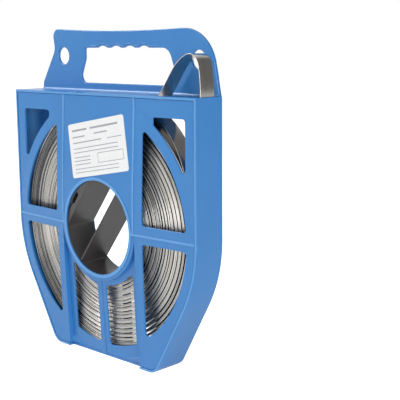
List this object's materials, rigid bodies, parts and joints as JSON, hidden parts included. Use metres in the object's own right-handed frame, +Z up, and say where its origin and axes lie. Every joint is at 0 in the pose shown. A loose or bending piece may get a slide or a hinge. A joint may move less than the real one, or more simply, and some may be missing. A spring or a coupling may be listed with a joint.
{
  "type": "coil of stainless steel banding",
  "caption": "Coil of narrow stainless steel banding held in a moulded plastic carry case with a handle, for strapping work.",
  "frame": {"origin": "bottom centre of the bounding box, on the floor under the middle of the case", "axes": "+Z up, from the case's flat bottom to its handle; the front with the label faces -Y; +X to the right"},
  "size_m": [0.3, 0.0452, 0.3724],
  "materials": {
    "case_plastic": "gloss",
    "band_steel": "mill finish",
    "core_plastic": "matt",
    "label_paper": "matt"
  },
  "bodies": {
    "root": {"rear_shell": "case_plastic", "front_cover": "case_plastic", "steel_band": "band_steel", "winding_core": "core_plastic", "label": "label_paper"}
  },
  "joints": []
}
